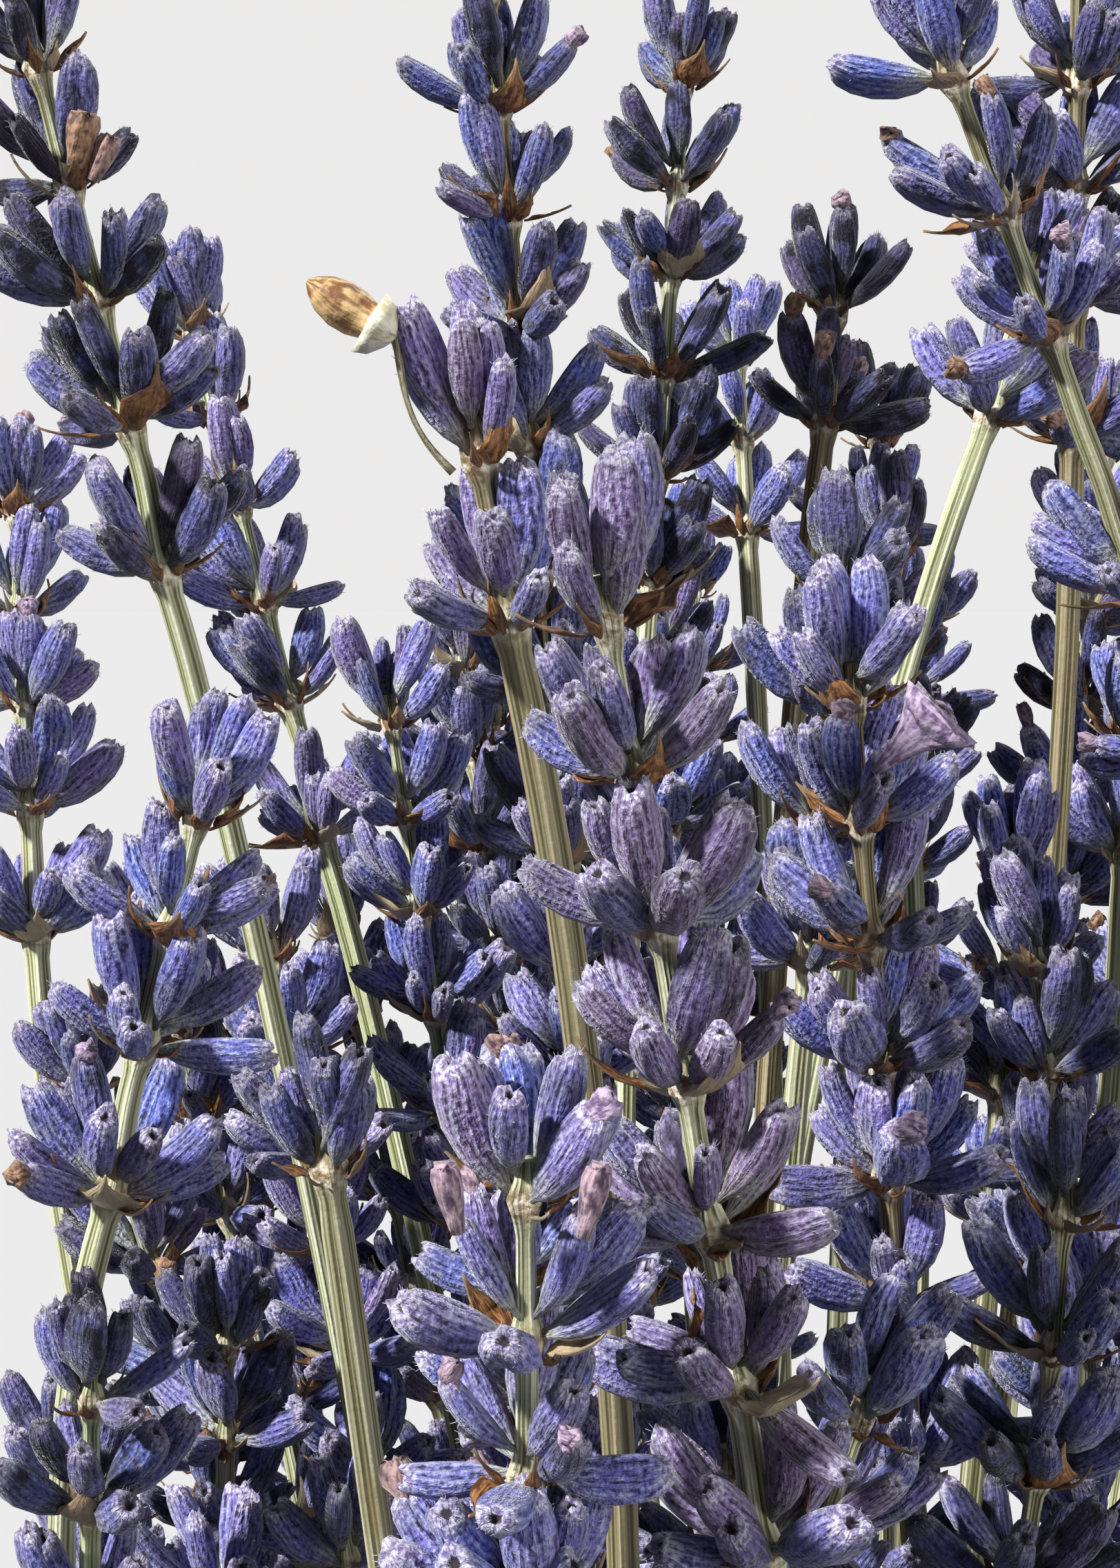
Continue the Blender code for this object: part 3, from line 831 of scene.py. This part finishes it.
def make_knot(finish):
    """A square knot: two lengths twisted round each other, each coming out from under the coil on
    one side and ending in a trimmed tail on the other."""
    low, high = (np.array(corner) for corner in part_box("twine_knot"))
    middle = (low + high) / 2
    middle[2] = axis_place()[2]
    t = np.linspace(-1, 1, 13)
    for name, mirror, phase in (("twine_knot_right", 1, 0.0), ("twine_knot_left", -1, math.pi)):
        turn = 1.35 * math.pi * t * mirror + phase
        twist = np.stack([3.4 * t * mirror, -1.15 * np.cos(turn), 1.15 * np.sin(turn)], axis=1)
        under = [(-8.6 * mirror, 7.2, -0.6), (-6.6 * mirror, 4.4, -0.2), (-4.6 * mirror, 1.4, 0.2)]
        tail = [(5.2 * mirror, 0.4, -1.8), (6.9 * mirror, 0.3, -4.8), (8.0 * mirror, 0.1, -9.0)]
        tail.append((8.6 * mirror, 0.0, -14.4))
        points = np.concatenate([under, twist, tail]) * MM
        path = smoothed(points, KNOT_STEP) + middle
        side = np.array([0.15 * mirror, -1.0, 0.2])
        piece = twine(name, path, side, finish)
        if mirror == 1:
            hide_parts("twine_knot")
        make_frays(name + "_frays", path[-1], unit(path[-1] - path[-4]), finish, mirror)


def make_frays(name, end, heading, finish, seed):
    """Loose fibres that fan out from a cut end, each a thin spine that goes on for a length times
    (s * its direction + s^2 * a random sag), with s from 0 to 1."""
    rng = np.random.default_rng(seed + 2)
    count = FRAYS
    spread = unit(heading + rng.normal(0, 0.35, (count, 3)))
    start = end + rng.normal(0, 0.35, (count, 3)) * MM
    length = rng.uniform(1.0, 3.2, (count, 1, 1)) * MM
    share = np.linspace(0, 1, 5)[None, :, None]
    sag = rng.normal(0, 0.3, (count, 1, 3))
    paths = start[:, None] + length * (share * spread[:, None] + share**2 * sag)
    radii = np.linspace(0.09, 0.03, 5)[None, :, None] * MM * np.ones(4)
    rings = sweep(paths, np.array([0.9, 0.3, 0.1]), radii)
    nature = rng.random((count, 3))
    groups = [(rings, np.linspace(0, 1, 5), nature, finish)]
    surface(name, groups)


def make_fuzz(finish):
    """Loose fibres that stand off the coil all round, bent like the frays of a cut end and headed
    mostly along the twine."""
    rng = np.random.default_rng(7)
    low, high = (np.array(corner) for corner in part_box("twine_binding"))
    count = FUZZ
    angle = rng.uniform(0, 2 * math.pi, count)
    out = np.stack([np.cos(angle), np.sin(angle), 0 * angle], axis=1)
    along = np.stack([-np.sin(angle), np.cos(angle), 0 * angle], axis=1)
    start = axis_place() + out * ((high[0] - low[0]) / 2 - 0.3 * MM)
    start[:, 2] = rng.uniform(low[2] + 0.5 * MM, high[2] - 0.5 * MM, count)
    lead = out * 0.5 + along * rng.choice([-1, 1], (count, 1))
    heading = unit(lead + rng.normal(0, 0.4, (count, 3)))
    share = np.linspace(0, 1, 6)[None, :, None]
    length = rng.uniform(1.5, 4.5, (count, 1, 1)) * MM
    sag = rng.normal(0, 0.25, (count, 1, 3))
    paths = start[:, None] + length * (share * heading[:, None] + share**2 * sag)
    radii = np.linspace(0.06, 0.02, 6)[None, :, None] * MM * np.ones(4)
    rings = sweep(paths, np.array([0.1, 0.2, 0.97]), radii)
    groups = [(rings, np.linspace(0, 1, 6), rng.random((count, 3)), finish)]
    surface("twine_fuzz", groups)


# --- the set --------------------------------------------------------------------------------

HEADS_HEIGHT = 262 * MM
ASIDE = 9 * MM  # the camera looks past the tie's axis by this much
DISTANCE = 160 * MM
ELEVATION = math.radians(4)
FLOOR_HALF = 60.0


def aim(obj, target):
    """Turns a camera or a light at the target."""
    ahead = unit(np.array(target) - np.array(obj.location))
    pitch = math.asin(ahead[2])
    obj.rotation_euler = (math.pi / 2 + pitch, 0, math.atan2(-ahead[0], ahead[1]))


def add_camera(axis):
    data = bpy.data.cameras.new("camera")
    data.lens = 60.6
    data.sensor_width = 36
    data.clip_start = 0.005
    camera = bpy.data.objects.new("camera", data)
    bpy.context.scene.collection.objects.link(camera)
    target = np.array([axis[0] - ASIDE, axis[1], HEADS_HEIGHT])
    back = np.array([0, -math.cos(ELEVATION), math.sin(ELEVATION)])
    camera.location = target + DISTANCE * back
    aim(camera, target)
    bpy.context.scene.camera = camera


def add_light(name, strength, angle, place):
    """A light that reaches everything alike, from the direction of its place; the wider the angle
    it fills, the softer its shadows."""
    data = bpy.data.lights.new(name, "SUN")
    data.energy = strength
    data.angle = math.radians(angle)
    light = bpy.data.objects.new(name, data)
    bpy.context.scene.collection.objects.link(light)
    light.location = place
    aim(light, (0, 0, 0))


def add_floor():
    """A level square that glows a little, so that the shadows on it stay pale."""
    mesh = bpy.data.meshes.new("floor")
    r = FLOOR_HALF
    mesh.from_pydata([(-r, -r, 0), (r, -r, 0), (r, r, 0), (-r, r, 0)], [], [(0, 1, 2, 3)])
    f = Finish("pale_floor", Roughness=1.0, Emission_Strength=0.40)
    f.shader.inputs["Specular IOR Level"].default_value = 0.0
    f.shader.inputs["Base Color"].default_value = (0.32, 0.315, 0.315, 1)
    f.shader.inputs["Emission Color"].default_value = (0.84, 0.83, 0.83, 1)
    mesh.materials.append(f.material)
    floor = bpy.data.objects.new("floor", mesh)
    bpy.context.scene.collection.objects.link(floor)
    floor.visible_diffuse = False  # it lights the bunch no more than the surround does


def add_world():
    """A pale grey surround that lights the bunch only softly, so that its gaps stay deep."""
    world = bpy.data.worlds.new("surround")
    bpy.context.scene.world = world
    world.use_nodes = True
    tree = world.node_tree
    seen = tree.nodes["Background"]
    seen.inputs[0].default_value = (0.84, 0.83, 0.83, 1)
    soft = tree.nodes.new("ShaderNodeBackground")
    soft.inputs[0].default_value = (0.80, 0.88, 1.0, 1)
    soft.inputs[1].default_value = 0.12
    path = tree.nodes.new("ShaderNodeLightPath")
    mix = tree.nodes.new("ShaderNodeMixShader")
    tree.links.new(path.outputs["Is Camera Ray"], mix.inputs[0])
    tree.links.new(soft.outputs[0], mix.inputs[1])
    tree.links.new(seen.outputs[0], mix.inputs[2])
    tree.links.new(mix.outputs[0], tree.nodes["World Output"].inputs[0])


def main():
    bpy.context.scene.view_settings.view_transform = "Standard"
    add_camera(axis_place())
    add_world()
    add_floor()
    add_light("key", 6.2, 4, (-0.72, -0.50, 0.66))
    add_light("fill", 2.2, 45, (0.8, -0.6, 0.15))
    add_light("back", 1.1, 30, (0.4, 0.7, 0.54))
    finishes = {
        "stem": stem_finish(),
        "calyx": calyx_finish(),
        "bract": bract_finish(),
        "down": down_finish(),
        "corolla": corolla_finish(),
        "bud": bud_finish(),
        "twine": twine_finish(),
    }
    sprigs = [node for node in sorted(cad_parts) if node.startswith("sprig")]
    rings, nature = joined([make_sprig(node, finishes) for node in sprigs])
    groups = [(rings, COROLLA_ALONG, nature, finishes["corolla"])]
    surface("withered_corollas", groups)
    make_flowers(finishes["corolla"])
    make_loose_bud(finishes)
    make_binding(finishes["twine"])
    make_knot(finishes["twine"])
    make_fuzz(finishes["twine"])


main()
